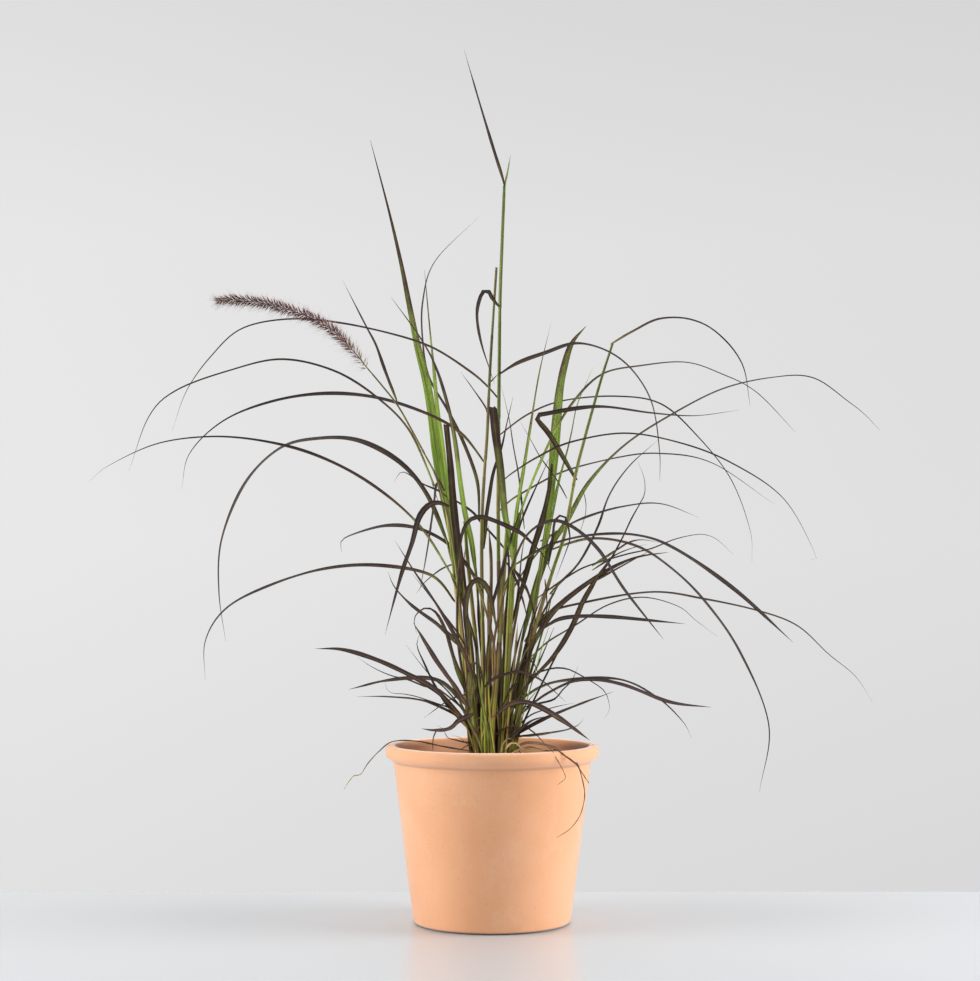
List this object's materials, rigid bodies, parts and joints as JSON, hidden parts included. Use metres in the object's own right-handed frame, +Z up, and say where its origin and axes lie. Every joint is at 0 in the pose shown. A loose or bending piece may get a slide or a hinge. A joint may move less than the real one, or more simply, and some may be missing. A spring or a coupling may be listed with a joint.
{
  "type": "potted fountain grass clump",
  "caption": "Clump of purple fountain grass with arching leaves, tall stems and a bristly flower spike, growing in a round tapered terracotta pot with a rolled rim.",
  "frame": {"origin": "middle of the pot's underside, on the pot's axis, at the surface it stands on", "axes": "+Z up along the pot's axis; +X to the right across the clump's broad side; +Y from the viewed broad side towards the back"},
  "size_m": [0.9085, 0.5409, 0.9815],
  "materials": {
    "terracotta": "matte",
    "soil": "matte",
    "stem": "satin",
    "leaf_green": "satin",
    "leaf_purple": "satin",
    "flower": "matte",
    "dried_leaf": "matte"
  },
  "bodies": {
    "root": {"dry_strand_left": "dried_leaf", "dry_strand_right": "dried_leaf", "flower_spike": "flower", "flower_stalk": "stem", "leaf_centre_arch": "leaf_purple", "leaf_centre_broad": "leaf_green", "leaf_centre_cut": "leaf_purple", "leaf_centre_droop": "leaf_purple", "leaf_flag": "leaf_purple", "leaf_left_bent": "leaf_purple", "leaf_left_broken": "leaf_purple", "leaf_left_curl": "leaf_purple", "leaf_left_far": "leaf_purple", "leaf_left_green": "leaf_green", "leaf_left_high_arch": "leaf_purple", "leaf_left_hooked": "leaf_purple", "leaf_left_loop": "leaf_purple", "leaf_left_low_broad": "leaf_purple", "leaf_left_low_mauve": "leaf_purple", "leaf_left_low_slim": "leaf_purple", "leaf_left_mauve": "leaf_purple", "leaf_left_mid": "leaf_purple", "leaf_left_round_arch": "leaf_purple", "leaf_left_second_arch": "leaf_purple", "leaf_left_slim": "leaf_green", "leaf_left_straight": "leaf_purple", "leaf_left_tall": "leaf_green", "leaf_left_third_arch": "leaf_purple", "leaf_left_wide_arch": "leaf_purple", "leaf_right_brown": "leaf_purple", "leaf_right_crossing": "leaf_purple", "leaf_right_dark_arch": "leaf_purple", "leaf_right_far": "leaf_purple", "leaf_right_flag": "leaf_purple", "leaf_right_flat": "leaf_purple", "leaf_right_folded": "leaf_purple", "leaf_right_fountain": "leaf_purple", "leaf_right_level": "leaf_purple", "leaf_right_long_arch": "leaf_purple", "leaf_right_low_arch": "leaf_purple", "leaf_right_low_broad": "leaf_purple", "leaf_right_low_mauve": "leaf_purple", "leaf_right_low_tip": "leaf_purple", "leaf_right_slanting": "leaf_purple", "leaf_right_swaying": "leaf_purple", "leaf_right_thin_arch": "leaf_purple", "leaf_right_third_arch": "leaf_purple", "leaf_right_top_arch": "leaf_purple", "leaf_top": "leaf_purple", "potting_soil": "soil", "stem_back": "stem", "stem_centre": "stem", "stem_cut": "stem", "stem_green": "stem", "stem_inner_left": "stem", "stem_inner_right": "stem", "stem_left": "stem", "stem_right": "stem", "stem_tall": "stem", "terracotta_pot": "terracotta"}
  },
  "joints": []
}
